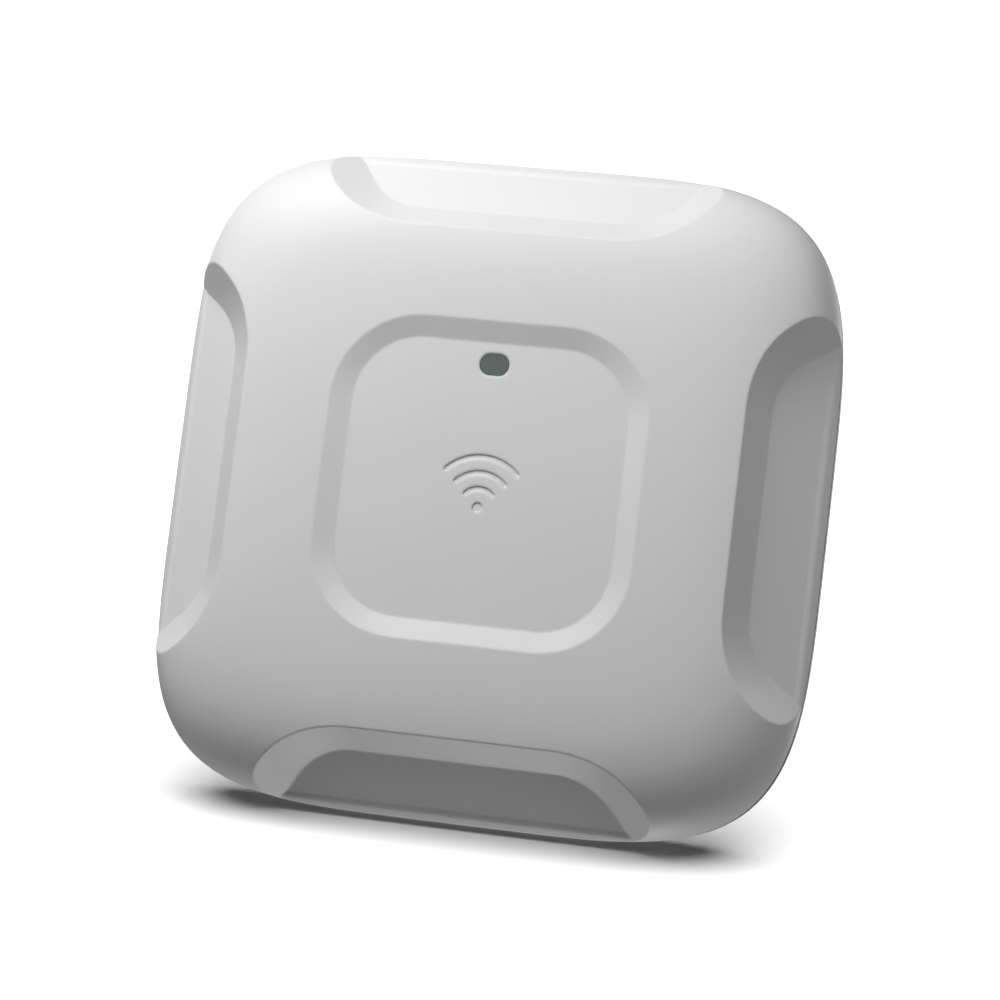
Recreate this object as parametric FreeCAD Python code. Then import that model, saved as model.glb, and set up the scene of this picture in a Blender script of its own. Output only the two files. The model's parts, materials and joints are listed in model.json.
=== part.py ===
import FreeCAD, Part
import math
import os
from FreeCAD import Vector

# Ceiling access point, upright, with its front cover facing -Y and its back facing +Y.
# Y = 0 is the plane of the mounting pins' end faces, and a "level" is the distance from that
# plane towards the front, so a point at level L has y = -L. All sizes are in millimetres.

# Housing outline: a square whose sides bow slightly, as a superellipse.
COVER_HALF = 110.5
OUTLINE_POWER = 4.5
OUTLINE_POINTS = 64
OUTLINE_START = 45.0

# Levels through the depth, from the mounting plane to the front face.
BACK_LEVEL = 4.5
BACK_WALL = 2.6
FLANGE_LEVEL = 15.0
BASE_TOP = 20.0
SKIRT_LEVEL = 20.6
RIM_LEVEL = 24.0
FACE_LEVEL = 53.6

# Front cover: dome, recessed centre panel and one pocket on each side.
COVER_WALL = 2.4
COVER_BOSS_RADIUS = 4.0
COVER_HOLE_END = 34.0
DOME_POWER = 7.0
DOME_ANGLES = (90, 81, 72, 63, 54, 45, 36, 28, 20, 13, 7, 2)
SKIRT_INSET = 0.4
RECESS_HALF = 53.2
RECESS_PANEL_HALF = 46.0
RECESS_RADIUS = 30.0
RECESS_DEPTH = 2.4
EDGE_ROUND = 0.8
LIP_ROUND = 3.0
ROLL_ROUND = 4.0
POCKET_REFERENCE = 40.0
POCKET_FOOT = 90.4
POCKET_SLOPE = 0.80
POCKET_DRAFT = 0.63
POCKET_CORNER_Z = 45.6
POCKET_CORNER_RADIUS = 45.0
POCKET_SPLAY = 30.0
LIP_START = 106.4
LIP_SLOPE = 0.45
ROLL_START = 108.0
ROLL_SLOPE = 1.2
POCKET_REACH = 135.0

# Sunk wireless symbol in the middle of the recessed panel: a dot with arcs over it.
SYMBOL_FOOT_Z = -8.0
SYMBOL_DOT = 1.7
SYMBOL_ARCS = (6.2, 11.4, 16.6)
SYMBOL_STROKE = 1.7
SYMBOL_SPREAD = 45.0
SYMBOL_DEPTH = 0.35

# Status window in the recessed panel.
WINDOW_Z = 38.9
WINDOW_WIDTH = 9.9
WINDOW_HEIGHT = 7.3
WINDOW_GAP = 0.1

# Metal base.
BASE_HALF_FLANGE = 110.3
BASE_HALF_MIDDLE = 105.5
BASE_HALF_BACK = 99.5
BASE_MIDDLE_LEVEL = 9.5
BASE_WALL = 2.2
TONGUE_HALF = 107.4
TONGUE_WALL = 1.6
TONGUE_TOP = 21.4
SHELF_HALF = 109.0
SHELF_LEVEL = 18.4

# Circuit board.
BOARD_LEVEL = 21.0
BOARD_THICK = 1.6
BOARD_TOP = BOARD_LEVEL + BOARD_THICK
BOARD_HALF = 90.0
CORNER_CUT = 148.0
BOARD_POST_RADIUS = 3.0
BOARD_POSTS = [(-80, 40), (80, 40), (-80, -40), (80, -40), (-57, -80), (57, -80)]

# Chips under the board with their thermal pads, each place as x0, x1, z0, z1, and the radio screens.
CHIP_LOW = 18.8
PAD_LOW = 17.9
PROCESSOR = (-34, -9, -29, -4)
RADIO_LOW_BAND = (6, 22, -24, -8)
RADIO_HIGH_BAND = (32, 48, -24, -8)
HOT_CHIPS = [PROCESSOR, RADIO_LOW_BAND, RADIO_HIGH_BAND]
MEMORY_LOW = 19.9
MEMORY_CHIPS = [(-62, -50, -30, -20), (-62, -50, -16, -6)]
CAPACITOR_LOW = 12.2
CAPACITOR_RADIUS = 3.4
INDUCTOR_LOW = 14.5
INDUCTOR_SIDE = 12
TRANSFORMER_TOP = 28.0
SHIELD_INNER = 47.0
SHIELD_OUTER = 79.0
SHIELD_LOW = -10.0
SHIELD_HIGH = 22.0
SHIELD_TOP = 26.4
SHIELD_SHEET = 0.3
FENCE_SHEET = 0.4

# Cable bay, open to the back and to the lower edge.
BAY_HALF = 50.0
BAY_END = -58.0
BAY_DEPTH = 18.3
BAY_WALL = 2.0
BAY_EDGE = -112.0
ROOF_TOP = BAY_DEPTH + BAY_WALL

# Sockets in the bay's end wall.
JACK_FRONT = -57.9
JACK_BACK = -36.7
JACK_HALF = 8.1
JACK_LOW = 7.4
JACK_SHEET = 0.3
SOCKET_HALF = 5.95
SOCKET_LOW = 8.9
SOCKET_HIGH = 17.0
SOCKET_DEPTH = 14.0
LATCH_HALF = 3.1
LATCH_LOW = 7.9
CONTACT_PITCH = 1.02
CONTACT_COUNT = 8
ETHERNET_X = 22.0
CONSOLE_X = 0.0
POWER_X = -20.0
POWER_LEVEL = 13.4
POWER_HALF = 5.5
POWER_BORE = 3.2
POWER_PIN = 1.25
LOCK_X = -38.0
LOCK_LEVEL = 12.5
BUTTON_X = 40.0
BUTTON_LEVEL = 16.0
BUTTON_RADIUS = 1.75
BUTTON_GAP = 0.06

# Add-on module bay and its cover.
MODULE_HALF = 34.0
MODULE_LOW = 10.0
MODULE_HIGH = 60.0
LID_HALF = 46.0
LID_MARGIN = 5.0
LID_THICK = 1.6
LID_GAP = 0.3
THUMB_X = 40.0
THUMB_Z = (MODULE_LOW + MODULE_HIGH) / 2
THUMB_RADIUS = 1.5
THUMB_GAP = 0.08
THUMB_HEAD_RADIUS = 4.2
THUMB_HEAD_THICK = 2.4
THUMB_NOTCHES = 20
THUMB_NOTCH_RADIUS = 0.4
THUMB_BOSS_TOP = 14.5
THUMB_BOSS_RADIUS = 3.8
LID_FRAME_TOP = 8.5
LID_RIM = 1.5

# Mounting pins, two by two.
PIN_SPACING_X = 127.0
PIN_SPACING_Z = 101.6
PIN_HEAD_RADIUS = 4.0
PIN_STEM_RADIUS = 2.3
PIN_HEAD_THICK = 1.6
PIN_SHANK_END = 10.0
PIN_BOSS_RADIUS = 6.0

# Cover screws, antenna plate and antennas.
SCREW_OFFSET = 79.0
SCREW_RADIUS = 1.5
SCREW_HOLE = 1.6
SCREW_BOSS_RADIUS = 4.5
SCREW_SINK = 2.4
SCREW_HEAD_RADIUS = 2.9
PLATE_LEVEL = 29.0
PLATE_THICK = 1.2
PLATE_TOP = PLATE_LEVEL + PLATE_THICK
PLATE_HALF = 88.0
SPACER_OFFSET = 84.0
ANTENNA_RADIUS = 92.0
ANTENNA_TOP = 41.0
ANTENNA_SHEET = 0.8
LEAD_RADIUS = 0.7
LEAD_HOLE = 4.5
LEAD_LEVEL = 32.0
PLUG_TOP = 25.2

QUARTERS = (0, 90, 180, 270)
CORNERS = {"top_right": 0, "bottom_right": 90, "bottom_left": 180, "top_left": 270}
PIN_PLACES = [(sx * PIN_SPACING_X / 2, sz * PIN_SPACING_Z / 2) for sx in (-1, 1) for sz in (-1, 1)]
SCREW_PLACES = [(sx * SCREW_OFFSET, sz * SCREW_OFFSET) for sx in (-1, 1) for sz in (-1, 1)]
SPACER_PLACES = [(SPACER_OFFSET, 0), (-SPACER_OFFSET, 0), (0, SPACER_OFFSET), (0, -SPACER_OFFSET)]


# ---- shape helpers ----

def block(x0, x1, low, high, z0, z1):
    """Box between two x, two levels and two z."""
    return Part.makeBox(x1 - x0, high - low, z1 - z0, Vector(x0, -high, z0))


def post(x, z, low, high, radius):
    """Round bar standing between two levels."""
    return Part.makeCylinder(radius, high - low, Vector(x, -low, z), Vector(0, -1, 0))


def bar(x, level, z0, z1, radius):
    """Round bar lying along Z."""
    return Part.makeCylinder(radius, z1 - z0, Vector(x, -level, z0), Vector(0, 0, 1))


def quarter_turn(shape, angle):
    """Copy of a shape turned about the depth axis."""
    turned = shape.copy()
    turned.rotate(Vector(0, 0, 0), Vector(0, 1, 0), angle)
    return turned


def joined(shapes):
    """One solid from several that touch or cross."""
    whole = shapes[0]
    for shape in shapes[1:]:
        whole = whole.fuse(shape)
    return whole.removeSplitter()


def group(shapes):
    """Separate solids kept in one node."""
    return Part.makeCompound(shapes)


def middle_of(edge):
    """Point halfway along an edge."""
    return edge.valueAt((edge.FirstParameter + edge.LastParameter) / 2)


def rounded_wire(corners, radii):
    """Closed wire through corner points of one plane, each corner rounded by its own radius."""
    count = len(corners)
    arcs = []
    for i in range(count):
        before = (corners[i - 1] - corners[i]).normalize()
        after = (corners[(i + 1) % count] - corners[i]).normalize()
        half = before.getAngle(after) / 2
        middle_way = (before + after).normalize()
        reach = radii[i] / math.tan(half)
        middle = corners[i] + middle_way * (radii[i] / math.sin(half) - radii[i])
        arcs.append((corners[i] + before * reach, middle, corners[i] + after * reach))
    edges = []
    for i in range(count):
        start, middle, end = arcs[i]
        if radii[i] > 0:
            edges.append(Part.Arc(start, middle, end).toShape())
        edges.append(Part.LineSegment(end, arcs[(i + 1) % count][0]).toShape())
    return Part.Wire(edges)


def rounded_plate(x0, x1, low, high, z0, z1, radius):
    """Flat plate with four equal rounded corners."""
    corners = [Vector(x0, -low, z0), Vector(x1, -low, z0), Vector(x1, -low, z1), Vector(x0, -low, z1)]
    return Part.Face(rounded_wire(corners, [radius] * 4)).extrude(Vector(0, low - high, 0))


def cut_corner_plate(half, low, high, radius):
    """Square plate with its four corners cut at 45 degrees and all eight corners rounded."""
    side = CORNER_CUT - half
    turns = [(half, -side), (half, side), (side, half), (-side, half)]
    turns += [(-half, side), (-half, -side), (-side, -half), (side, -half)]
    corners = [Vector(x, -low, z) for x, z in turns]
    return Part.Face(rounded_wire(corners, [radius] * 8)).extrude(Vector(0, low - high, 0))


def outline(half, level):
    """The housing's bowed-square outline at one level."""
    points = []
    for i in range(OUTLINE_POINTS):
        angle = math.radians(OUTLINE_START) + 2 * math.pi * i / OUTLINE_POINTS
        c = math.cos(angle)
        s = math.sin(angle)
        reach = half / (abs(c) ** OUTLINE_POWER + abs(s) ** OUTLINE_POWER) ** (1 / OUTLINE_POWER)
        points.append(Vector(reach * c, -level, reach * s))
    curve = Part.BSplineCurve()
    curve.interpolate(Points=points, PeriodicFlag=True)
    return Part.Wire([curve.toShape()])


def outline_loft(sections, ruled):
    """Solid through several (half size, level) outlines."""
    return Part.makeLoft([outline(half, level) for half, level in sections], True, ruled)


# ---- front cover ----

def dome(inset):
    """The cover's full outer form, or the same form pulled in by a wall thickness."""
    half = COVER_HALF - inset
    height = FACE_LEVEL - inset - RIM_LEVEL
    sections = []
    for degrees in DOME_ANGLES:
        angle = math.radians(degrees)
        sections.append((half * math.sin(angle) ** (2 / DOME_POWER), RIM_LEVEL + height * math.cos(angle)))
    crown = outline_loft(sections, False)
    foot_level = SKIRT_LEVEL if inset == 0 else SKIRT_LEVEL - 1
    skirt = outline_loft([(half - SKIRT_INSET, foot_level), (half, RIM_LEVEL)], True)
    return crown.fuse(skirt)


def pocket_outline(level, inset):
    """The pocket's plan at one level: an inner edge and two splayed ends, opening outwards."""
    offset = POCKET_DRAFT * (level - POCKET_REFERENCE) + inset * math.hypot(1, POCKET_DRAFT)
    inner = POCKET_FOOT - offset
    splay = math.radians(POCKET_SPLAY)
    # The turn moves along the inner edge as the offset grows, so that each end stays parallel to itself.
    turn_z = POCKET_CORNER_Z + offset * math.tan(splay / 2)
    end_z = turn_z + (POCKET_REACH - inner) / math.tan(splay)
    radius = POCKET_CORNER_RADIUS + offset
    corners = [
        Vector(POCKET_REACH, -level, -end_z),
        Vector(POCKET_REACH, -level, end_z),
        Vector(inner, -level, turn_z),
        Vector(inner, -level, -turn_z),
    ]
    return rounded_wire(corners, [0, 0, radius, radius])


def pocket_section(inset, near_x, far_x):
    """Corners (x, level) of the pocket's floor, its flatter lip and the roll over to the skirt."""
    starts = (POCKET_FOOT, LIP_START, ROLL_START)
    slopes = (POCKET_SLOPE, LIP_SLOPE, ROLL_SLOPE)
    start_level = POCKET_REFERENCE
    lines = []
    for i in range(3):
        if i > 0:
            start_level -= slopes[i - 1] * (starts[i] - starts[i - 1])
        # Each line is held as its slope and its level at x = 0, dropped square to itself by the inset.
        lines.append((slopes[i], start_level + slopes[i] * starts[i] - inset * math.hypot(1, slopes[i])))
    crossings = [(a[1] - b[1]) / (a[0] - b[0]) for a, b in zip(lines, lines[1:])]
    floor_slope, floor_level = lines[0]
    roll_slope, roll_level = lines[-1]
    corners = [(near_x, floor_level - floor_slope * near_x)]
    corners += [(x, level - slope * x) for x, (slope, level) in zip(crossings, lines)]
    corners.append((far_x, roll_level - roll_slope * far_x))
    return corners


def pocket(inset):
    """Space cut from the +X side: drafted walls above a sloping floor with a rolled outer lip."""
    low = SKIRT_LEVEL - 6
    high = FACE_LEVEL + 6
    well = Part.makeLoft([pocket_outline(low, inset), pocket_outline(high, inset)], True, True)
    near_x = POCKET_FOOT - 40
    far_x = POCKET_REACH + 10
    side = pocket_section(inset, near_x, far_x) + [(far_x, high + 60), (near_x, high + 60)]
    corners = [Vector(x, -level, -120) for x, level in side]
    radii = [0, LIP_ROUND, ROLL_ROUND, 0, 0, 0]
    above_floor = Part.Face(rounded_wire(corners, radii)).extrude(Vector(0, 0, 240))
    return well.common(above_floor)


def recess(inset):
    """Shallow rounded-square recess with a sloping band around its flat panel."""
    slope = (RECESS_HALF - RECESS_PANEL_HALF) / RECESS_DEPTH
    floor = FACE_LEVEL - RECESS_DEPTH - inset
    top = FACE_LEVEL + 3
    wires = []
    for level in (floor, top):
        half = RECESS_PANEL_HALF + slope * (level - floor) + inset
        radius = RECESS_RADIUS + half - RECESS_HALF
        corners = [Vector(sx * half, -level, sz * half) for sx, sz in ((-1, -1), (1, -1), (1, 1), (-1, 1))]
        wires.append(rounded_wire(corners, [radius] * 4))
    space = Part.makeLoft(wires, True, True)
    foot = [edge for edge in space.Edges if abs(-middle_of(edge).y - floor) < 0.01]
    return space.makeFillet(EDGE_ROUND, foot)


def window_shape(grow, low, high):
    """Status window's obround, grown by a margin."""
    half_x = WINDOW_WIDTH / 2 + grow
    half_z = WINDOW_HEIGHT / 2 + grow
    radius = half_z - 0.05
    return rounded_plate(-half_x, half_x, low, high, WINDOW_Z - half_z, WINDOW_Z + half_z, radius)


def cover_form(inset):
    """The dome with its four pockets and its recess cut out of it."""
    form = dome(inset)
    for angle in QUARTERS:
        form = form.cut(quarter_turn(pocket(inset), angle))
    return form.cut(recess(inset))


def recess_rim(form):
    """Edges where the recess breaks out of the dome."""
    edges = []
    for edge in form.Edges:
        middle = middle_of(edge)
        if FACE_LEVEL - 0.4 < -middle.y and max(abs(middle.x), abs(middle.z)) < RECESS_HALF:
            edges.append(edge)
    return edges


def wireless_symbol():
    """Cutters for a dot and arcs of one stroke width with round ends."""
    panel = FACE_LEVEL - RECESS_DEPTH
    low = panel - SYMBOL_DEPTH
    high = panel + 1
    half = SYMBOL_STROKE / 2
    spread = math.radians(SYMBOL_SPREAD)
    reach = SYMBOL_ARCS[-1] * 2
    side = reach * math.tan(spread)
    corners = [
        Vector(0, -low, SYMBOL_FOOT_Z),
        Vector(side, -low, SYMBOL_FOOT_Z + reach),
        Vector(-side, -low, SYMBOL_FOOT_Z + reach),
    ]
    sector = Part.Face(rounded_wire(corners, [0] * 3)).extrude(Vector(0, low - high, 0))
    cutters = [post(0, SYMBOL_FOOT_Z, low, high, SYMBOL_DOT)]
    for radius in SYMBOL_ARCS:
        ring = post(0, SYMBOL_FOOT_Z, low, high, radius + half)
        ring = ring.cut(post(0, SYMBOL_FOOT_Z, low - 1, high + 1, radius - half))
        arc = ring.common(sector)
        for side_x in (-1, 1):
            end_x = side_x * radius * math.sin(spread)
            end_z = SYMBOL_FOOT_Z + radius * math.cos(spread)
            arc = arc.fuse(post(end_x, end_z, low, high, half))
        cutters.append(arc.removeSplitter())
    return cutters


def front_cover():
    sharp = cover_form(0)
    outside = sharp.makeFillet(EDGE_ROUND, recess_rim(sharp))
    cover = outside.cut(cover_form(COVER_WALL))
    for x, z in SCREW_PLACES:
        boss = post(x, z, SKIRT_LEVEL + 0.8, FACE_LEVEL, COVER_BOSS_RADIUS).common(outside)
        cover = cover.fuse(boss).cut(post(x, z, SKIRT_LEVEL, COVER_HOLE_END, SCREW_HOLE))
    for cutter in wireless_symbol():
        cover = cover.cut(cutter)
    return cover.cut(window_shape(0, FACE_LEVEL - 8, FACE_LEVEL))


def status_window():
    face = FACE_LEVEL - RECESS_DEPTH - 0.15
    behind = FACE_LEVEL - RECESS_DEPTH - COVER_WALL
    lens = window_shape(-WINDOW_GAP, behind - 0.1, face)
    flange = window_shape(1.3, behind - 1.3, behind - 0.1)
    return joined([lens, flange])


# ---- metal base ----

def base_form(inset, back):
    """The base's tapering form, or the same form pulled in by a wall thickness."""
    sections = [
        (BASE_HALF_BACK - inset, back),
        (BASE_HALF_MIDDLE - inset, BASE_MIDDLE_LEVEL),
        (BASE_HALF_FLANGE - inset, FLANGE_LEVEL),
    ]
    taper = outline_loft(sections, True)
    top = BASE_TOP if inset == 0 else BASE_TOP + 1
    rim = outline_loft([(BASE_HALF_FLANGE - inset, FLANGE_LEVEL), (BASE_HALF_FLANGE - inset, top)], True)
    return taper.fuse(rim)


def outline_ring(outer_half, inner_half, low, high):
    """Band of the housing's outline between two half sizes and two levels."""
    outer = outline_loft([(outer_half, low), (outer_half, high)], True)
    inner = outline_loft([(inner_half, low - 1), (inner_half, high + 1)], True)
    return outer.cut(inner)


def base_tongue():
    """Shelf inside the rim, and on it a low ring that centres the front cover."""
    inner_half = TONGUE_HALF - TONGUE_WALL
    shelf = outline_ring(SHELF_HALF, inner_half, SHELF_LEVEL, BASE_TOP)
    ring = outline_ring(TONGUE_HALF, inner_half, SHELF_LEVEL, TONGUE_TOP)
    return shelf.fuse(ring)


def bay_walls(form):
    """Solid block for the cable bay, trimmed to the base's own form at the lower edge."""
    edge = BAY_HALF + BAY_WALL
    return block(-edge, edge, BACK_LEVEL, ROOF_TOP, BAY_EDGE, BAY_END + BAY_WALL).common(form)


def base_walls():
    """Everything else added inside the tray: module walls, posts, bosses and chip pedestals."""
    side = MODULE_HALF + BAY_WALL
    frame = LID_HALF + BAY_WALL
    low = MODULE_LOW - LID_MARGIN
    high = MODULE_HIGH + LID_MARGIN
    added = [
        block(-side, side, BACK_LEVEL, ROOF_TOP, MODULE_LOW - BAY_WALL, MODULE_HIGH + BAY_WALL),
        block(-frame, frame, BACK_LEVEL, LID_FRAME_TOP, low - BAY_WALL, high + BAY_WALL),
    ]
    added += [post(x, z, BACK_LEVEL, BOARD_LEVEL, BOARD_POST_RADIUS) for x, z in BOARD_POSTS]
    added += [post(x, z, BACK_LEVEL, BOARD_LEVEL, SCREW_BOSS_RADIUS) for x, z in SCREW_PLACES]
    added += [post(x, z, BACK_LEVEL, PIN_SHANK_END + 1.5, PIN_BOSS_RADIUS) for x, z in PIN_PLACES]
    added += [post(sx * THUMB_X, THUMB_Z, BACK_LEVEL, THUMB_BOSS_TOP, THUMB_BOSS_RADIUS) for sx in (-1, 1)]
    added += [block(x0, x1, BACK_LEVEL, PAD_LOW, z0, z1) for x0, x1, z0, z1 in HOT_CHIPS]
    return added


def base_cuts():
    """Everything opened in the base: the bay, its sockets, the module bay and the screw holes."""
    low = MODULE_LOW - LID_MARGIN - LID_GAP
    high = MODULE_HIGH + LID_MARGIN + LID_GAP
    lid_half = LID_HALF + LID_GAP
    wall_z = (BAY_END - 0.1, BAY_END + BAY_WALL + 0.1)
    cuts = [
        block(-BAY_HALF, BAY_HALF, 0, BAY_DEPTH, BAY_EDGE - 5, BAY_END),
        block(-MODULE_HALF, MODULE_HALF, 0, BAY_DEPTH, MODULE_LOW, MODULE_HIGH),
        block(-16, 16, BAY_DEPTH - 1, ROOF_TOP + 1, 30, 40),
        rounded_plate(-lid_half, lid_half, 0, BACK_LEVEL + LID_THICK, low, high, 3.3),
        block(LOCK_X - 3.5, LOCK_X + 3.5, LOCK_LEVEL - 1.5, LOCK_LEVEL + 1.5, *wall_z),
        bar(BUTTON_X, BUTTON_LEVEL, *wall_z, BUTTON_RADIUS + BUTTON_GAP),
    ]
    windows = [(ETHERNET_X, JACK_HALF, JACK_LOW), (CONSOLE_X, JACK_HALF, JACK_LOW)]
    windows.append((POWER_X, POWER_HALF, POWER_LEVEL - 4.2))
    for x, half, floor in windows:
        cuts.append(block(x - half - 0.25, x + half + 0.25, floor - 0.25, ROOF_TOP + 1, *wall_z))
    cuts += [post(x, z, BACK_LEVEL + 3, BOARD_LEVEL + 1, 1.3) for x, z in BOARD_POSTS]
    cuts += [post(x, z, 0, BOARD_LEVEL + 1, SCREW_HOLE) for x, z in SCREW_PLACES]
    cuts += [post(x, z, 0, BACK_LEVEL + SCREW_SINK, SCREW_HEAD_RADIUS + 0.3) for x, z in SCREW_PLACES]
    cuts += [post(x, z, 0, PIN_SHANK_END + 0.2, PIN_STEM_RADIUS + 0.05) for x, z in PIN_PLACES]
    cuts += [post(sx * THUMB_X, THUMB_Z, 0, 13, THUMB_RADIUS + THUMB_GAP) for sx in (-1, 1)]
    return cuts


def base_plate():
    form = base_form(0, BACK_LEVEL)
    hollow = base_form(BASE_WALL, BACK_LEVEL + BACK_WALL)
    base = form.cut(hollow).fuse(base_tongue()).fuse(bay_walls(form))
    for shape in base_walls():
        base = base.fuse(shape)
    for shape in base_cuts():
        base = base.cut(shape)
    return base


def mounting_pins():
    pins = []
    for x, z in PIN_PLACES:
        head = post(x, z, 0, PIN_HEAD_THICK, PIN_HEAD_RADIUS)
        stem = post(x, z, PIN_HEAD_THICK, PIN_SHANK_END, PIN_STEM_RADIUS)
        pins.append(joined([head, stem]))
    return group(pins)


def screw(x, z, seat, thick, head_radius, tip, radius):
    """Screw driven towards the front: its head sits behind the seat level."""
    head = post(x, z, seat - thick, seat, head_radius)
    slot_a = block(x - 1.4, x + 1.4, seat - thick - 0.1, seat - thick + 0.7, z - 0.3, z + 0.3)
    slot_b = block(x - 0.3, x + 0.3, seat - thick - 0.1, seat - thick + 0.7, z - 1.4, z + 1.4)
    shank = post(x, z, seat, tip, radius)
    return joined([head, shank]).cut(slot_a).cut(slot_b)


def front_screw(x, z, seat, thick, head_radius, tip, radius):
    """Screw driven towards the back: its head stands in front of the seat level."""
    head = post(x, z, seat, seat + thick, head_radius)
    slot_a = block(x - 1.2, x + 1.2, seat + thick - 0.6, seat + thick + 0.1, z - 0.25, z + 0.25)
    slot_b = block(x - 0.25, x + 0.25, seat + thick - 0.6, seat + thick + 0.1, z - 1.2, z + 1.2)
    shank = post(x, z, tip, seat, radius)
    return joined([head, shank]).cut(slot_a).cut(slot_b)


def cover_screws():
    seat = BACK_LEVEL + SCREW_SINK
    tip = COVER_HOLE_END - 1
    return group([screw(x, z, seat, 2.0, SCREW_HEAD_RADIUS, tip, SCREW_RADIUS) for x, z in SCREW_PLACES])


def board_screws():
    return group([front_screw(x, z, BOARD_TOP, 1.7, 2.6, 12, 1.2) for x, z in BOARD_POSTS])


def back_label():
    return rounded_plate(-40, 40, BACK_LEVEL - 0.15, BACK_LEVEL, -48, -8, 2)


# ---- module bay ----

def module_lid():
    """Flat lid with a low stiffening frame that reaches into the module bay."""
    low = MODULE_LOW - LID_MARGIN
    high = MODULE_HIGH + LID_MARGIN
    top = BACK_LEVEL + LID_THICK
    lid = rounded_plate(-LID_HALF, LID_HALF, BACK_LEVEL, top, low, high, 3)
    half = MODULE_HALF - 1
    inner_half = half - LID_RIM
    frame = block(-half, half, top, top + 1.9, MODULE_LOW + 1, MODULE_HIGH - 1)
    hollow_low = MODULE_LOW + 1 + LID_RIM
    hollow_high = MODULE_HIGH - 1 - LID_RIM
    hollow = block(-inner_half, inner_half, top - 0.1, top + 3, hollow_low, hollow_high)
    lid = joined([lid, frame.cut(hollow)])
    for side in (-1, 1):
        lid = lid.cut(post(side * THUMB_X, THUMB_Z, 0, top + 4, THUMB_RADIUS + THUMB_GAP))
    return lid


def thumbscrew(x):
    """Captive screw with a knurled head that fingers turn."""
    seat = BACK_LEVEL - 0.1
    head_low = BACK_LEVEL - THUMB_HEAD_THICK
    head = post(x, THUMB_Z, head_low, seat, THUMB_HEAD_RADIUS)
    notch_reach = THUMB_HEAD_RADIUS + 0.15
    for i in range(THUMB_NOTCHES):
        angle = 2 * math.pi * i / THUMB_NOTCHES
        notch_x = x + notch_reach * math.cos(angle)
        notch_z = THUMB_Z + notch_reach * math.sin(angle)
        head = head.cut(post(notch_x, notch_z, head_low - 1, BACK_LEVEL, THUMB_NOTCH_RADIUS))
    head = head.cut(block(x - 5, x + 5, head_low - 1, head_low + 0.9, THUMB_Z - 0.5, THUMB_Z + 0.5))
    shank = post(x, THUMB_Z, seat, THUMB_BOSS_TOP - 2, THUMB_RADIUS)
    return joined([head, shank])


def module_connector():
    body = block(-14, 14, 16.6, BOARD_LEVEL, 31.5, 38.5)
    slot = block(-12.6, 12.6, 16, 18.6, 34.2, 35.8)
    return body.cut(slot)


# ---- sockets, button and lock ----

def jack_shell(x):
    """Folded metal screen around a network socket, open where the plug enters."""
    outer = block(x - JACK_HALF, x + JACK_HALF, JACK_LOW, BOARD_LEVEL, JACK_FRONT, JACK_BACK)
    inner_half = JACK_HALF - JACK_SHEET
    core = block(x - inner_half, x + inner_half, JACK_LOW + JACK_SHEET, BOARD_LEVEL + 1,
                 JACK_FRONT + JACK_SHEET, JACK_BACK - JACK_SHEET)
    return outer.cut(core).cut(jack_mouth(x, JACK_FRONT - 1))


def jack_mouth(x, front):
    """The plug's space with the notch for its latch."""
    back = JACK_FRONT + SOCKET_DEPTH
    plug = block(x - SOCKET_HALF, x + SOCKET_HALF, SOCKET_LOW, SOCKET_HIGH, front, back)
    latch = block(x - LATCH_HALF, x + LATCH_HALF, LATCH_LOW, SOCKET_LOW, front, back)
    return joined([plug, latch])


def jack_body(x):
    half = JACK_HALF - JACK_SHEET
    body = block(x - half, x + half, JACK_LOW + JACK_SHEET, BOARD_LEVEL,
                 JACK_FRONT + JACK_SHEET, JACK_BACK - JACK_SHEET)
    return body.cut(jack_mouth(x, JACK_FRONT - 1))


def jack_contacts(x):
    """Row of spring wires slanting down from the top of the socket."""
    back = JACK_FRONT + SOCKET_DEPTH
    wires = []
    for i in range(CONTACT_COUNT):
        centre = x + (i - (CONTACT_COUNT - 1) / 2) * CONTACT_PITCH
        profile = [(back, SOCKET_HIGH), (back, SOCKET_HIGH - 0.4), (back - 9.5, 14.4), (back - 9.5, 14.8)]
        corners = [Vector(centre - 0.22, -level, z) for z, level in profile]
        wires.append(Part.Face(rounded_wire(corners, [0] * 4)).extrude(Vector(0.44, 0, 0)))
    return group(wires)


def power_jack_body():
    body = block(POWER_X - POWER_HALF, POWER_X + POWER_HALF, POWER_LEVEL - 4.2, BOARD_LEVEL, JACK_FRONT, -43)
    body = body.cut(bar(POWER_X, POWER_LEVEL, JACK_FRONT - 1, -46.9, POWER_BORE))
    return body.cut(bar(POWER_X, POWER_LEVEL, -47, -42, 1.65))


def power_jack_pin():
    point = Vector(POWER_X, -POWER_LEVEL, -57.8)
    tip = Part.makeCone(POWER_PIN - 0.5, POWER_PIN, 0.8, point, Vector(0, 0, 1))
    shaft = bar(POWER_X, POWER_LEVEL, -57.0, -46.9, POWER_PIN)
    collar = bar(POWER_X, POWER_LEVEL, -46.9, -43.4, 1.6)
    return joined([tip, shaft, collar])


def mode_button():
    cap = bar(BUTTON_X, BUTTON_LEVEL, BAY_END - 0.9, -52.2, BUTTON_RADIUS)
    cap = cap.makeFillet(0.4, [edge for edge in cap.Edges if edge.BoundBox.ZMax < BAY_END])
    flange = bar(BUTTON_X, BUTTON_LEVEL, BAY_END + BAY_WALL + 0.1, BAY_END + BAY_WALL + 1.1, 2.2)
    return joined([cap, flange])


def mode_switch():
    return block(BUTTON_X - 3, BUTTON_X + 3, 13.4, BOARD_LEVEL, -51.2, -47.4)


def lock_plate():
    plate = block(LOCK_X - 7, LOCK_X + 7, LOCK_LEVEL - 4, LOCK_LEVEL + 4, -56, -54.8)
    slot = block(LOCK_X - 3.5, LOCK_X + 3.5, LOCK_LEVEL - 1.5, LOCK_LEVEL + 1.5, -57, -54)
    return plate.cut(slot)


# ---- main board ----

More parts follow.
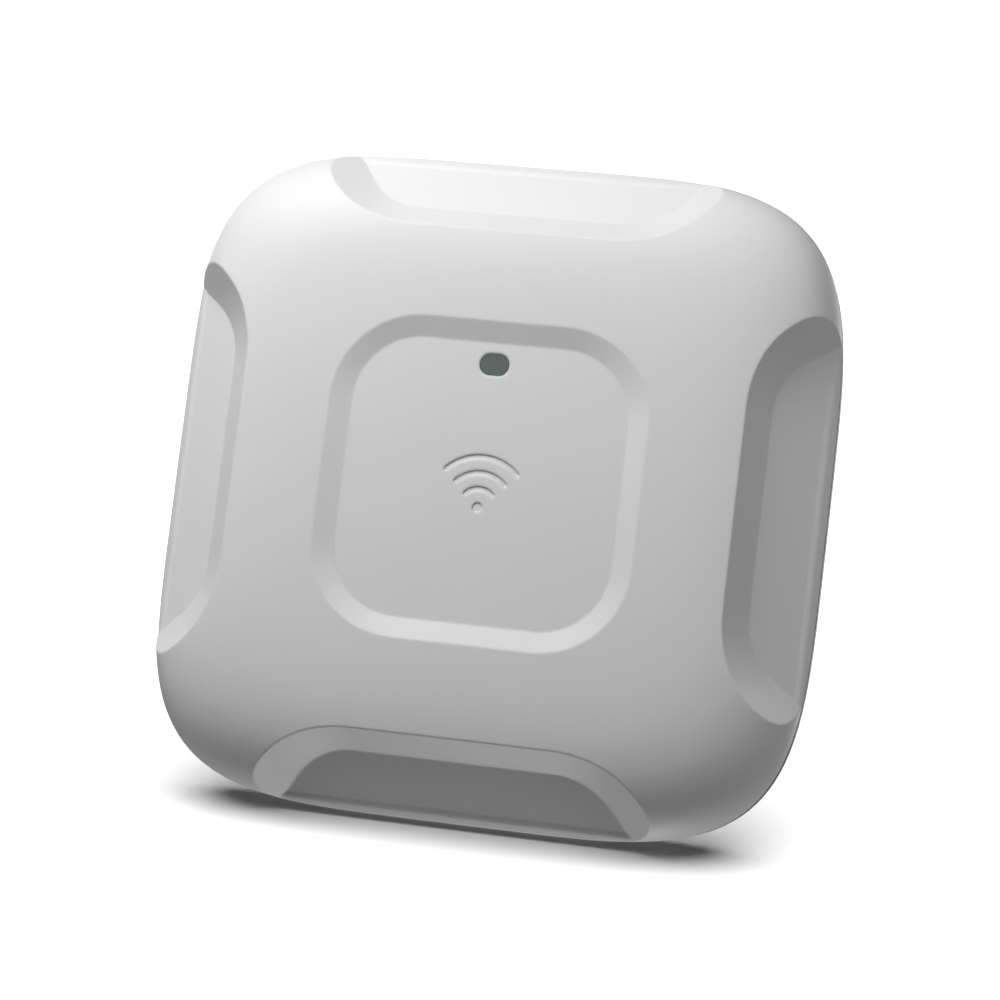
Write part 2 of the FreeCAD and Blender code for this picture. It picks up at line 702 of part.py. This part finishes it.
def main_board():
    board = cut_corner_plate(BOARD_HALF, BOARD_LEVEL, BOARD_TOP, 4)
    for x, z in BOARD_POSTS:
        board = board.cut(post(x, z, 0, 40, 1.4))
    for x, z in SPACER_PLACES:
        board = board.cut(post(x, z, 0, 40, 1.3))
    return board


def chip(place, low, high):
    x0, x1, z0, z1 = place
    return block(x0, x1, low, high, z0, z1)


def thermal_pads():
    return group([chip(place, PAD_LOW, CHIP_LOW) for place in HOT_CHIPS])


def memory_chips():
    return group([chip(place, MEMORY_LOW, BOARD_LEVEL) for place in MEMORY_CHIPS])


def capacitors():
    """Round power capacitors, each with a narrow groove near its foot."""
    cans = []
    for x in (-62, -71):
        for z in (-63, -72):
            can = post(x, z, CAPACITOR_LOW, BOARD_LEVEL, CAPACITOR_RADIUS)
            groove = post(x, z, 19.0, 19.6, CAPACITOR_RADIUS + 1)
            groove = groove.cut(post(x, z, 18, 21, CAPACITOR_RADIUS - 0.3))
            cans.append(can.cut(groove))
    return group(cans)


def inductors():
    coils = []
    for z in (-72, -58):
        body = rounded_plate(60, 60 + INDUCTOR_SIDE, INDUCTOR_LOW, BOARD_LEVEL, z, z + INDUCTOR_SIDE, 2)
        middle = INDUCTOR_SIDE / 2
        coils.append(body.cut(post(60 + middle, z + middle, INDUCTOR_LOW - 1, INDUCTOR_LOW + 0.7, 4)))
    return group(coils)


def line_transformer():
    body = block(12, 32, BOARD_TOP, TRANSFORMER_TOP, -60, -45)
    top_edges = [edge for edge in body.Edges if abs(edge.BoundBox.YMax + TRANSFORMER_TOP) < 0.01]
    return body.makeChamfer(0.8, top_edges)


def status_light():
    return rounded_plate(-1.6, 1.6, BOARD_TOP, BOARD_TOP + 0.8, WINDOW_Z - 1, WINDOW_Z + 1, 0.2)


def shield_place(side):
    inner = side * SHIELD_INNER
    outer = side * SHIELD_OUTER
    return min(inner, outer), max(inner, outer)


def shield_frame(side):
    """Low metal fence soldered round one radio's front end."""
    x0, x1 = shield_place(side)
    fence = block(x0, x1, BOARD_TOP, SHIELD_TOP - 0.4, SHIELD_LOW, SHIELD_HIGH)
    in_x0 = x0 + FENCE_SHEET
    in_x1 = x1 - FENCE_SHEET
    in_z0 = SHIELD_LOW + FENCE_SHEET
    in_z1 = SHIELD_HIGH - FENCE_SHEET
    inside = block(in_x0, in_x1, BOARD_TOP - 1, SHIELD_TOP, in_z0, in_z1)
    rib_z = (SHIELD_LOW + SHIELD_HIGH) / 2
    rib_low = rib_z - FENCE_SHEET / 2
    rib = block(in_x0, in_x1, BOARD_TOP, SHIELD_TOP - 0.4, rib_low, rib_low + FENCE_SHEET)
    return joined([fence.cut(inside), rib])


def shield_lid(side):
    """Snap-on lid whose skirt goes round the fence."""
    x0, x1 = shield_place(side)
    gap = 0.1
    reach = gap + SHIELD_SHEET
    skirt_low = BOARD_TOP + 0.6
    outer = block(x0 - reach, x1 + reach, skirt_low, SHIELD_TOP, SHIELD_LOW - reach, SHIELD_HIGH + reach)
    inner = block(x0 - gap, x1 + gap, BOARD_TOP, SHIELD_TOP - 0.4, SHIELD_LOW - gap, SHIELD_HIGH + gap)
    return outer.cut(inner)


def radio_amplifiers():
    """Small power amplifiers inside the two screened areas."""
    parts = []
    for side in (-1, 1):
        for z in (-6, 10):
            for step in (0, 1):
                x = side * (SHIELD_INNER + 8 + step * 14)
                parts.append(block(x - 2, x + 2, BOARD_TOP, BOARD_TOP + 0.9, z, z + 4))
    return group(parts)


def board_spacers():
    spacers = []
    for x, z in SPACER_PLACES:
        spacers.append(post(x, z, BOARD_TOP, PLATE_LEVEL, 2.4).cut(post(x, z, 22, 30, 1.35)))
    return group(spacers)


def plate_screws():
    return group([front_screw(x, z, PLATE_TOP, 1.4, 2.4, 23.4, 1.25) for x, z in SPACER_PLACES])


# ---- antennas ----

def lead_route():
    """Corners of one coaxial lead's route, from its antenna's foot down to its board socket."""
    along = math.radians(45)
    out = Vector(math.cos(along), 0, math.sin(along))
    across = Vector(-math.sin(along), 0, math.cos(along))
    down = Vector(0, -1, 0)
    return [
        out * (ANTENNA_RADIUS - 15) + down * LEAD_LEVEL,
        out * 62 + down * LEAD_LEVEL,
        out * 49 + across * 11 + down * LEAD_LEVEL,
        out * 49 + across * 11 + down * PLUG_TOP,
    ]


def lead_end():
    """Place of the board socket at the end of a lead."""
    end = lead_route()[-1]
    return end.x, end.z


def tube(route, radius):
    """Round tube along straight runs joined by tangent arcs as large as the runs allow."""
    edges = []
    start = route[0]
    for i in range(1, len(route) - 1):
        before = route[i - 1] - route[i]
        after = route[i + 1] - route[i]
        shorter = min(before.Length, after.Length)
        reach = 0.45 * shorter
        half = before.getAngle(after) / 2
        bend = reach * math.tan(half)
        before.normalize()
        after.normalize()
        middle_way = (before + after).normalize()
        arc_start = route[i] + before * reach
        arc_end = route[i] + after * reach
        middle = route[i] + middle_way * (bend / math.sin(half) - bend)
        print("bend radius", round(bend, 2))
        edges.append(Part.LineSegment(start, arc_start).toShape())
        edges.append(Part.Arc(arc_start, middle, arc_end).toShape())
        start = arc_end
    edges.append(Part.LineSegment(start, route[-1]).toShape())
    path = Part.Wire(edges)
    direction = (route[1] - route[0]).normalize()
    section = Part.Wire([Part.makeCircle(radius, route[0], direction)])
    solid = path.makePipeShell([section], True, False)
    expected = math.pi * radius ** 2 * path.Length
    print("tube volume over section times length", round(solid.Volume / expected, 4))
    return solid


def antenna():
    """Stamped radiator: a foot on the plate, a riser and a notched top plate, on the +X +Z diagonal."""
    sheet = ANTENNA_SHEET
    top = block(-12, 14, ANTENNA_TOP, ANTENNA_TOP + sheet, -16, 16)
    notch = block(-6, 4, ANTENNA_TOP - 1, ANTENNA_TOP + 2, -16.1, -4)
    slot = block(6, 8, ANTENNA_TOP - 1, ANTENNA_TOP + 2, -10, 12)
    riser = block(-12, -12 + sheet, PLATE_TOP, ANTENNA_TOP, 4, 16)
    foot = block(-12, -4, PLATE_TOP, PLATE_TOP + sheet, 4, 16)
    feed = block(-12, -12 + sheet, LEAD_LEVEL - 0.6, ANTENNA_TOP, -2, 1)
    shape = joined([top, riser, foot, feed]).cut(notch).cut(slot)
    shape.translate(Vector(ANTENNA_RADIUS, 0, 0))
    return quarter_turn(shape, -45)


def antenna_stand():
    """Plastic stand that carries the free end of the top plate."""
    leg = block(8, 12, PLATE_TOP, ANTENNA_TOP, -3, 3)
    waist = block(9.2, 10.8, PLATE_TOP + 2, ANTENNA_TOP - 2, -4, -1.5)
    shape = leg.cut(waist)
    shape.translate(Vector(ANTENNA_RADIUS - 2.5, 0, 0))
    return quarter_turn(shape, -45)


def antenna_plate():
    """Flat metal plate over the board that the antennas work against."""
    plate = cut_corner_plate(PLATE_HALF, PLATE_LEVEL, PLATE_TOP, 4)
    plate = plate.cut(window_shape(-0.8, PLATE_LEVEL - 1, PLATE_TOP + 1))
    x, z = lead_end()
    for angle in QUARTERS:
        plate = plate.cut(quarter_turn(post(x, z, PLATE_LEVEL - 1, PLATE_TOP + 1, LEAD_HOLE), angle))
    for hole_x, hole_z in SPACER_PLACES:
        plate = plate.cut(post(hole_x, hole_z, PLATE_LEVEL - 1, PLATE_TOP + 1, 1.4))
    return plate


def light_pipe():
    """Clear bar from the status light to the back of the window, resting on the antenna plate."""
    top = FACE_LEVEL - RECESS_DEPTH - COVER_WALL - 1.5
    bar_shape = window_shape(-1.1, BOARD_TOP + 1.1, top)
    collar = window_shape(0.6, PLATE_TOP, PLATE_TOP + 1.2)
    return joined([bar_shape, collar])


def coax_plug():
    """Round plug with a crimp collar, pressed on its board socket."""
    x, z = lead_end()
    body = post(x, z, BOARD_TOP + 1.0, PLUG_TOP - 0.6, 1.6)
    crimp = post(x, z, PLUG_TOP - 0.6, PLUG_TOP, 1.1)
    return joined([body, crimp])


def coax_socket():
    x, z = lead_end()
    foot = block(x - 1.6, x + 1.6, BOARD_TOP, BOARD_TOP + 0.4, z - 1.6, z + 1.6)
    return joined([foot, post(x, z, BOARD_TOP + 0.4, BOARD_TOP + 1.0, 1.2)])


def lead_clip():
    """Small clip that holds a lead above the antenna plate."""
    body = block(66, 69, PLATE_TOP, LEAD_LEVEL + 1.6, -2, 2)
    body = body.cut(block(65, 70, LEAD_LEVEL - 0.75, LEAD_LEVEL + 0.75, -0.75, 3))
    return quarter_turn(body, -45)


def around(shape):
    """The same shape in each of the four corners, as separate solids."""
    return group([quarter_turn(shape, angle) for angle in QUARTERS])


def nodes():
    """Every sub-part of the access point by name."""
    made = {
        "front_cover": front_cover(),
        "status_window": status_window(),
        "light_pipe": light_pipe(),
        "status_light": status_light(),
        "base_plate": base_plate(),
        "mounting_pins": mounting_pins(),
        "cover_screws": cover_screws(),
        "back_label": back_label(),
        "module_lid": module_lid(),
        "thumbscrew_left": thumbscrew(-THUMB_X),
        "thumbscrew_right": thumbscrew(THUMB_X),
        "module_connector": module_connector(),
        "power_jack_body": power_jack_body(),
        "power_jack_pin": power_jack_pin(),
        "mode_button": mode_button(),
        "mode_switch": mode_switch(),
        "lock_plate": lock_plate(),
        "main_board": main_board(),
        "board_screws": board_screws(),
        "processor": chip(PROCESSOR, CHIP_LOW, BOARD_LEVEL),
        "radio_chip_low_band": chip(RADIO_LOW_BAND, CHIP_LOW, BOARD_LEVEL),
        "radio_chip_high_band": chip(RADIO_HIGH_BAND, CHIP_LOW, BOARD_LEVEL),
        "thermal_pads": thermal_pads(),
        "memory_chips": memory_chips(),
        "capacitors": capacitors(),
        "inductors": inductors(),
        "line_transformer": line_transformer(),
        "shield_frame_left": shield_frame(-1),
        "shield_frame_right": shield_frame(1),
        "shield_lid_left": shield_lid(-1),
        "shield_lid_right": shield_lid(1),
        "radio_amplifiers": radio_amplifiers(),
        "board_spacers": board_spacers(),
        "antenna_plate": antenna_plate(),
        "plate_screws": plate_screws(),
        "antenna_stands": around(antenna_stand()),
        "coax_plugs": around(coax_plug()),
        "coax_sockets": around(coax_socket()),
        "lead_clips": around(lead_clip()),
    }
    for name, x in (("ethernet", ETHERNET_X), ("console", CONSOLE_X)):
        made[name + "_jack_shell"] = jack_shell(x)
        made[name + "_jack_body"] = jack_body(x)
        made[name + "_jack_contacts"] = jack_contacts(x)
    lead = tube(lead_route(), LEAD_RADIUS)
    for corner, angle in CORNERS.items():
        made["antenna_" + corner] = quarter_turn(antenna(), angle)
        made["antenna_lead_" + corner] = quarter_turn(lead, angle)
    return made


os.makedirs("parts", exist_ok=True)
for node, shape in nodes().items():
    shape.exportStep(os.path.join("parts", node + ".step"))
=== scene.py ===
import bpy
import json
import math
from mathutils import Matrix, Vector


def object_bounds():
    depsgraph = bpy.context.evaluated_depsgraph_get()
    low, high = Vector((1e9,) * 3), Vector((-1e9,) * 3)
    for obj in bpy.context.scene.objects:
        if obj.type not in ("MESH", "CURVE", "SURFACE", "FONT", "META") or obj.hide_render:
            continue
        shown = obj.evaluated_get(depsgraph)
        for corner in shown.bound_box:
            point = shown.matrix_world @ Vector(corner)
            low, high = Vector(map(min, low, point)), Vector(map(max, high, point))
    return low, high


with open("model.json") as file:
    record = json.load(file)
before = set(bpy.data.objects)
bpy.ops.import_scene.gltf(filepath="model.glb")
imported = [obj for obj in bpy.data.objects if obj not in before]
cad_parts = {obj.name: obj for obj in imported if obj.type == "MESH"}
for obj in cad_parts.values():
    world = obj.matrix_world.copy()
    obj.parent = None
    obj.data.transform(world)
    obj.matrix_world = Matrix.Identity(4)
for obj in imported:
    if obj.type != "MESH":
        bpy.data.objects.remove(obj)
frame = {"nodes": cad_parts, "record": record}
cad_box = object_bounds()
scene = bpy.context.scene

# Camera: its turn to the right, its rise (it stands below the object's level) and its roll in
# degrees, then its distance in metres and its lens and sensor in millimetres.
CAMERA_TURN = 11.24
CAMERA_RISE = -5.20
CAMERA_ROLL = 6.93
CAMERA_DISTANCE = 1.0
CAMERA_LENS = 110.8
CAMERA_SENSOR = 36.0
LOOK_AT = Vector((0.0061, -0.0456, -0.0043))

# Studio: the object leans back on the base's lower edge, so in its own frame the floor is tilted,
# by so many degrees, and passes that edge at CONTACT_Y.
FLOOR_TILT = 18.0
FLOOR_REACH = 3.0
CONTACT_Y = -0.015
CONTACT_GAP = 0.0002
FLOOR_FINISH = dict(
    colour=(0.50, 0.50, 0.50), rough=0.7, rough_vary=0.03, vary=0.01, patch=0.2, grain=0.002, bump=0.00001)

# The world is white to the camera, and this is all that it sheds on the object and the floor.
ROOM_LIGHT = 0.08

# Lights on the object: name, place, point aimed at, diameter and watts.
LIGHTS = [
    ("key", (-0.18, -0.374, 0.474), (0.0, -0.05, 0.0), 0.30, 1.30),
    ("wide_key", (-0.28, -0.50, 0.55), (0.0, -0.05, 0.0), 0.60, 3.65),
    ("right", (0.65, -0.30, 0.10), (0.0, -0.03, 0.0), 0.50, 0.85),
    ("left", (-0.65, -0.25, 0.05), (0.0, -0.03, 0.0), 0.40, 0.46),
    ("under", (0.0, 0.25, -0.65), (0.0, -0.03, -0.10), 0.40, 1.60),
    ("back_left", (-0.45, 0.85, 0.25), (0.0, 0.0, 0.0), 0.60, 4.0),
    ("back_right", (0.45, 0.85, 0.15), (0.0, 0.0, 0.0), 0.60, 2.0),
]

# Wide distant light on the floor alone: strength, and spread and lean towards the front in degrees.
FLOOR_GLOW = 10.0
FLOOR_GLOW_SPREAD = 80.0
FLOOR_GLOW_LEAN = 25.0

# Shares of the broad patches and of the fine speckle in every finish, and the speckle's noise detail.
PATCH_SHARE = 0.6
GRAIN_SHARE = 0.4
GRAIN_DETAIL = 2.0

# Edge wear: how many times finer than the patches it breaks up, how much of it is left in the gaps,
# and how much paler it is than the colour where no bare colour is given.
WEAR_PER_PATCH = 6
WEAR_LEFT = 0.3
WORN_TINT = 1.25

# Softened edges. Where their normal is off the face's own by the first cosine or more, the edge is
# fully worn, and within the second it isn't worn at all.
BEVEL_SAMPLES = 4
WORN_COSINE = 0.90
FLAT_COSINE = 0.995

# Bars printed on the back label, each as centre x, centre z, half width and half height:
# a frame, the rules between empty fields, a divider between two columns and a filled heading.
LABEL_X = 0.038
LABEL_Z = 0.018
LABEL_MIDDLE = -0.028
RULE = 0.00012
LABEL_BARS = [(side * LABEL_X, LABEL_MIDDLE, 2 * RULE, LABEL_Z) for side in (-1, 1)]
LABEL_BARS += [(0.0, LABEL_MIDDLE + side * LABEL_Z, LABEL_X, 2 * RULE) for side in (-1, 1)]
LABEL_BARS += [(0.0, LABEL_MIDDLE + step * LABEL_Z / 3, LABEL_X, RULE) for step in (-2, -1, 0, 1)]
LABEL_BARS += [(0.0, LABEL_MIDDLE - LABEL_Z / 6, RULE, LABEL_Z * 5 / 6)]
LABEL_BARS += [(0.0, LABEL_MIDDLE + LABEL_Z * 5 / 6, LABEL_X, LABEL_Z / 6)]
LABEL_INK = (0.16, 0.17, 0.18)


# ---- node helpers ----

def new_material(name):
    """Material with its node tree and its shader node."""
    material = bpy.data.materials.new(name)
    material.use_nodes = True
    return material, material.node_tree, material.node_tree.nodes["Principled BSDF"]


def add(tree, kind, **values):
    """A node with some of its properties or input sockets set."""
    node = tree.nodes.new(kind)
    for key, value in values.items():
        if hasattr(node, key):
            setattr(node, key, value)
        else:
            node.inputs[key].default_value = value
    return node


def noise(tree, coords, size, detail=3.0, stretch=None):
    """Noise value whose features are about as large as size, in metres."""
    vector = coords
    if stretch:
        mapping = add(tree, "ShaderNodeMapping", Scale=stretch)
        tree.links.new(coords, mapping.inputs["Vector"])
        vector = mapping.outputs["Vector"]
    texture = add(tree, "ShaderNodeTexNoise", Scale=1.0 / size, Detail=detail)
    tree.links.new(vector, texture.inputs["Vector"])
    return texture.outputs["Fac"]


def ranged(tree, value, low, high, from_low=0.3, from_high=0.7):
    """The value mapped from one range to another."""
    node = tree.nodes.new("ShaderNodeMapRange")
    node.inputs["From Min"].default_value = from_low
    node.inputs["From Max"].default_value = from_high
    node.inputs["To Min"].default_value = low
    node.inputs["To Max"].default_value = high
    tree.links.new(value, node.inputs["Value"])
    return node.outputs["Result"]


def blended(tree, factor, first, second):
    """Colour between two, each a colour or an output."""
    node = tree.nodes.new("ShaderNodeMix")
    node.data_type = "RGBA"
    tree.links.new(factor, node.inputs["Factor"])
    for socket, value in ((node.inputs[6], first), (node.inputs[7], second)):
        if isinstance(value, bpy.types.NodeSocket):
            tree.links.new(value, socket)
        else:
            socket.default_value = (*value[:3], 1.0)
    return node.outputs[2]


def calculated(tree, operation, *values):
    """Result of a math node on values or outputs."""
    node = add(tree, "ShaderNodeMath", operation=operation)
    for socket, value in zip(node.inputs, values):
        if isinstance(value, bpy.types.NodeSocket):
            tree.links.new(value, socket)
        else:
            socket.default_value = value
    return node.outputs["Value"]


def scaled(colour, factor):
    """Colour made lighter or darker, no brighter than 1."""
    return tuple(min(1.0, channel * factor) for channel in colour[:3])


def edge_mask(tree, bevel):
    """1 on rounded edges and 0 on open faces."""
    geometry = tree.nodes.new("ShaderNodeNewGeometry")
    dot = tree.nodes.new("ShaderNodeVectorMath")
    dot.operation = "DOT_PRODUCT"
    tree.links.new(bevel.outputs["Normal"], dot.inputs[0])
    tree.links.new(geometry.outputs["Normal"], dot.inputs[1])
    return ranged(tree, dot.outputs["Value"], 1.0, 0.0, WORN_COSINE, FLAT_COSINE)


def finish(name, colour, rough=0.45, rough_vary=0.04, vary=0.04, patch=0.012, grain=0.0004,
           bump=0.000006, stretch=None, edge=0.0003, wear=0.0, wear_colour=None, **sockets):
    """Procedural finish: tint patches and fine speckle, uneven gloss, a fine raised grain,
    softened edges and, where wear is above 0, paler or barer edges."""
    material, tree, shader = new_material(name)
    coords = tree.nodes.new("ShaderNodeTexCoord").outputs["Object"]
    patches = noise(tree, coords, patch)
    fine = noise(tree, coords, grain, GRAIN_DETAIL, stretch)
    mixed = calculated(tree, "ADD", calculated(tree, "MULTIPLY", patches, PATCH_SHARE),
                       calculated(tree, "MULTIPLY", fine, GRAIN_SHARE))
    base = blended(tree, ranged(tree, mixed, 0.0, 1.0), scaled(colour, 1 - vary), scaled(colour, 1 + vary))
    bevel = add(tree, "ShaderNodeBevel", samples=BEVEL_SAMPLES, Radius=edge)
    if wear:
        mask = calculated(tree, "MULTIPLY", edge_mask(tree, bevel), wear)
        break_up = ranged(tree, noise(tree, coords, patch / WEAR_PER_PATCH), WEAR_LEFT, 1.0)
        broken = calculated(tree, "MULTIPLY", mask, break_up)
        base = blended(tree, broken, base, wear_colour or scaled(colour, WORN_TINT))
    tree.links.new(base, shader.inputs["Base Color"])
    tree.links.new(ranged(tree, mixed, rough - rough_vary, rough + rough_vary), shader.inputs["Roughness"])
    relief = add(tree, "ShaderNodeBump", Strength=1.0, Distance=bump)
    tree.links.new(fine, relief.inputs["Height"])
    tree.links.new(bevel.outputs["Normal"], relief.inputs["Normal"])
    tree.links.new(relief.outputs["Normal"], shader.inputs["Normal"])
    for key, value in sockets.items():
        shader.inputs[key.replace("_", " ")].default_value = value
    return material


def printed(material, bars, ink):
    """Ink bars over a finish, each bar as centre x, centre z, half width and half height in metres."""
    tree = material.node_tree
    shader = tree.nodes["Principled BSDF"]
    place = tree.nodes.new("ShaderNodeSeparateXYZ")
    tree.links.new(tree.nodes.new("ShaderNodeTexCoord").outputs["Object"], place.inputs["Vector"])
    covered = 0.0
    for centre_x, centre_z, half_x, half_z in bars:
        in_x = calculated(tree, "COMPARE", place.outputs["X"], centre_x, half_x)
        in_z = calculated(tree, "COMPARE", place.outputs["Z"], centre_z, half_z)
        covered = calculated(tree, "MAXIMUM", covered, calculated(tree, "MULTIPLY", in_x, in_z))
    under = shader.inputs["Base Color"].links[0].from_socket
    tree.links.new(blended(tree, covered, under, ink), shader.inputs["Base Color"])


# ---- finishes ----

# One procedural finish for each material slot, with lengths in metres.
FINISHES = {
    "cover_plastic": dict(
        colour=(0.80, 0.80, 0.80), rough=0.50, rough_vary=0.03, vary=0.008, patch=0.03, grain=0.00035,
        bump=0.000004, edge=0.0014, wear=0.15, wear_colour=(0.86, 0.86, 0.86)),
    "window_plastic": dict(
        colour=(0.160, 0.182, 0.172), rough=0.16, rough_vary=0.03, vary=0.05, patch=0.004, grain=0.0003,
        bump=0.0000005, edge=0.0003),
    "clear_plastic": dict(
        colour=(0.85, 0.88, 0.88), rough=0.12, rough_vary=0.03, vary=0.02, bump=0.000001,
        Transmission_Weight=0.9, IOR=1.49),
    "light_package": dict(
        colour=(0.92, 0.90, 0.78), rough=0.30, rough_vary=0.05, vary=0.03, patch=0.001, grain=0.0001),
    # The base's dark grey colour is painted shade. It stands for the base's flange in shadow beside the
    # cover's edge, and is darker than the real light grey metal.
    "base_paint": dict(
        colour=(0.22, 0.22, 0.23), rough=0.50, rough_vary=0.06, vary=0.06, patch=0.02, grain=0.0006,
        bump=0.000025, edge=0.0005, wear=0.25, wear_colour=(0.34, 0.34, 0.35)),
    "pin_steel": dict(
        colour=(0.62, 0.62, 0.60), rough=0.30, vary=0.05, grain=0.0003, edge=0.0002, wear=0.4,
        Metallic=1.0),
    "screw_steel": dict(
        colour=(0.40, 0.40, 0.41), rough=0.34, vary=0.06, grain=0.0003, edge=0.00015, wear=0.5,
        Metallic=1.0),
    "lid_paint": dict(
        colour=(0.25, 0.25, 0.26), rough=0.48, rough_vary=0.06, vary=0.06, patch=0.02, grain=0.0005,
        bump=0.000018, edge=0.0003, wear=0.3, wear_colour=(0.38, 0.38, 0.39)),
    "thumbscrew_nickel": dict(
        colour=(0.70, 0.68, 0.64), rough=0.24, vary=0.05, edge=0.0001, wear=0.4, Metallic=1.0),
    "connector_plastic": dict(
        colour=(0.045, 0.045, 0.045), rough=0.42, rough_vary=0.06, vary=0.1, patch=0.004, grain=0.0002),
    "jack_tin": dict(
        colour=(0.66, 0.66, 0.65), rough=0.28, vary=0.06, grain=0.0002, stretch=(1, 0.06, 1),
        Metallic=1.0),
    "jack_plastic": dict(
        colour=(0.05, 0.05, 0.055), rough=0.38, rough_vary=0.06, vary=0.1, patch=0.004, grain=0.0002),
    "contact_gold": dict(
        colour=(0.83, 0.62, 0.28), rough=0.22, vary=0.05, grain=0.0001, edge=0.0001, Metallic=1.0),
    "button_plastic": dict(
        colour=(0.13, 0.13, 0.14), rough=0.40, rough_vary=0.05, vary=0.08, patch=0.003, grain=0.0002),
    "board_laminate": dict(
        colour=(0.03, 0.16, 0.08), rough=0.32, rough_vary=0.08, vary=0.2, patch=0.006, grain=0.0008,
        bump=0.00001),
    "chip_epoxy": dict(
        colour=(0.05, 0.05, 0.05), rough=0.55, rough_vary=0.05, vary=0.12, patch=0.003, grain=0.0002),
    "pad_silicone": dict(
        colour=(0.38, 0.42, 0.50), rough=0.70, rough_vary=0.05, vary=0.06, patch=0.003, grain=0.0003),
    "can_aluminium": dict(
        colour=(0.70, 0.70, 0.70), rough=0.32, vary=0.05, edge=0.0003, wear=0.3, Metallic=1.0),
    "ferrite": dict(
        colour=(0.11, 0.11, 0.115), rough=0.62, rough_vary=0.06, vary=0.15, patch=0.003, grain=0.0003,
        bump=0.00001),
    "shield_tin": dict(
        colour=(0.68, 0.68, 0.67), rough=0.30, vary=0.05, stretch=(1, 0.06, 1), Metallic=1.0),
    "plate_aluminium": dict(
        colour=(0.74, 0.74, 0.74), rough=0.34, vary=0.05, stretch=(0.05, 1, 1), Metallic=1.0),
    "antenna_metal": dict(
        colour=(0.72, 0.70, 0.64), rough=0.30, vary=0.05, grain=0.0002, Metallic=1.0),
    "stand_plastic": dict(
        colour=(0.78, 0.78, 0.76), rough=0.48, rough_vary=0.05, vary=0.03, patch=0.004, grain=0.0003),
    "lead_jacket": dict(
        colour=(0.09, 0.09, 0.10), rough=0.34, rough_vary=0.06, vary=0.1, patch=0.004, grain=0.0002),
    "plug_brass": dict(
        colour=(0.78, 0.60, 0.30), rough=0.26, vary=0.06, grain=0.0001, edge=0.0001, Metallic=1.0),
    "label_film": dict(
        colour=(0.84, 0.84, 0.83), rough=0.36, rough_vary=0.04, vary=0.02, patch=0.01, grain=0.0003,
        bump=0.000002),
}

finishes = {name: finish(name, **values) for name, values in FINISHES.items()}
printed(finishes["label_film"], LABEL_BARS, LABEL_INK)

slot_of = {part["node"]: part["material_slot"] for part in frame["record"]["subparts"]}
for node, obj in frame["nodes"].items():
    obj.data.materials.clear()
    obj.data.materials.append(finishes[slot_of[node]])


# ---- studio ----

def floor_sheet(lowest):
    """Large flat sheet, tilted about the object's lower edge."""
    tilt = math.radians(FLOOR_TILT)
    along = Vector((1, 0, 0)) * FLOOR_REACH
    away = Vector((0, math.cos(tilt), math.sin(tilt))) * FLOOR_REACH
    contact = Vector((0, CONTACT_Y, lowest - CONTACT_GAP))
    corners = [contact - along - away, contact + along - away, contact + along + away, contact - along + away]
    mesh = bpy.data.meshes.new("floor")
    mesh.from_pydata([tuple(corner) for corner in corners], [], [(0, 1, 2, 3)])
    return mesh


def area_light(name, place, target, size, watts, receivers):
    """Round soft light aimed at a point, lighting only the receivers."""
    data = bpy.data.lights.new(name, "AREA")
    data.shape = "DISK"
    data.size = size
    data.energy = watts
    light = bpy.data.objects.new(name, data)
    light.location = place
    light.rotation_mode = "QUATERNION"
    light.rotation_quaternion = (Vector(target) - Vector(place)).to_track_quat("-Z", "Y")
    light.visible_camera = False
    scene.collection.objects.link(light)
    light.light_linking.receiver_collection = receivers


def sun_light(name, lean, spread, strength, receivers):
    """Wide distant light from above, leaning towards the front by so many degrees."""
    data = bpy.data.lights.new(name, "SUN")
    data.angle = math.radians(spread)
    data.energy = strength
    light = bpy.data.objects.new(name, data)
    light.rotation_euler = (math.radians(lean), 0, 0)
    scene.collection.objects.link(light)
    light.light_linking.receiver_collection = receivers


lowest = cad_box[0]
floor = bpy.data.objects.new("floor", floor_sheet(lowest.z))
scene.collection.objects.link(floor)
floor.data.materials.append(finish("pale_floor", **FLOOR_FINISH))
floor.visible_diffuse = False
floor.visible_glossy = False
floor.visible_shadow = False

floor_only = bpy.data.collections.new("floor_only")
floor_only.objects.link(floor)
object_only = bpy.data.collections.new("object_only")
for obj in frame["nodes"].values():
    object_only.objects.link(obj)

for light in LIGHTS:
    area_light(*light, object_only)
sun_light("floor_glow", FLOOR_GLOW_LEAN, FLOOR_GLOW_SPREAD, FLOOR_GLOW, floor_only)

world = bpy.data.worlds.new("studio")
scene.world = world
world.use_nodes = True
sky = world.node_tree
background = sky.nodes["Background"]
path = sky.nodes.new("ShaderNodeLightPath")
strength = sky.nodes.new("ShaderNodeMapRange")
strength.inputs["To Min"].default_value = ROOM_LIGHT
strength.inputs["To Max"].default_value = 1.0
sky.links.new(path.outputs["Is Camera Ray"], strength.inputs["Value"])
sky.links.new(strength.outputs["Result"], background.inputs["Strength"])
background.inputs["Color"].default_value = (1.0, 1.0, 1.0, 1.0)
scene.view_settings.view_transform = "Standard"


# ---- camera ----

turn, rise, roll = (math.radians(angle) for angle in (CAMERA_TURN, CAMERA_RISE, CAMERA_ROLL))
back = Vector((math.sin(turn) * math.cos(rise), -math.cos(turn) * math.cos(rise), math.sin(rise)))
level_right = Vector((math.cos(turn), math.sin(turn), 0))
level_up = back.cross(level_right)
right = level_right * math.cos(roll) + level_up * math.sin(roll)
up = level_up * math.cos(roll) - level_right * math.sin(roll)
lens = bpy.data.cameras.new("camera")
lens.lens = CAMERA_LENS
lens.sensor_width = CAMERA_SENSOR
camera = bpy.data.objects.new("camera", lens)
place = LOOK_AT + back * CAMERA_DISTANCE
camera.matrix_world = Matrix.Translation(place) @ Matrix((right, up, back)).transposed().to_4x4()
scene.collection.objects.link(camera)
scene.camera = camera
